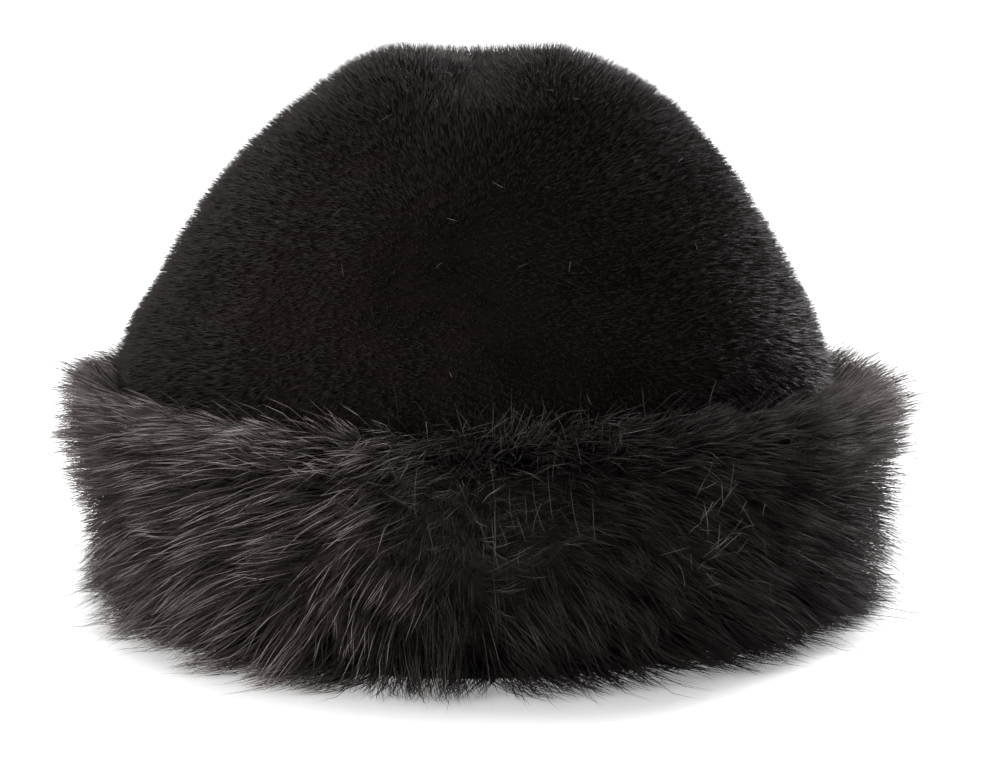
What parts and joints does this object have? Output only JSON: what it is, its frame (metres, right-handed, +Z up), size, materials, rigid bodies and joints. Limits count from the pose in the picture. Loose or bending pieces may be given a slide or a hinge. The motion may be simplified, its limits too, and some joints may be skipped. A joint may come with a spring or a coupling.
{
  "type": "telpek fur hat",
  "caption": "Black fur hat with a domed short-pile crown, creased along its top, and a deep turned-up cuff of long shaggy fur.",
  "frame": {"origin": "middle of the hat on the flat surface that it rests on, under the head opening", "axes": "+Z up out of the crown, -Y the front of the hat, +X the wearer's left"},
  "size_m": [0.2637, 0.2878, 0.161],
  "materials": {
    "short_pile": "dense short black pile, plush",
    "long_fur": "long loose black fur with a soft sheen"
  },
  "bodies": {
    "root": {"crown": "short_pile", "cuff": "long_fur"}
  },
  "joints": []
}
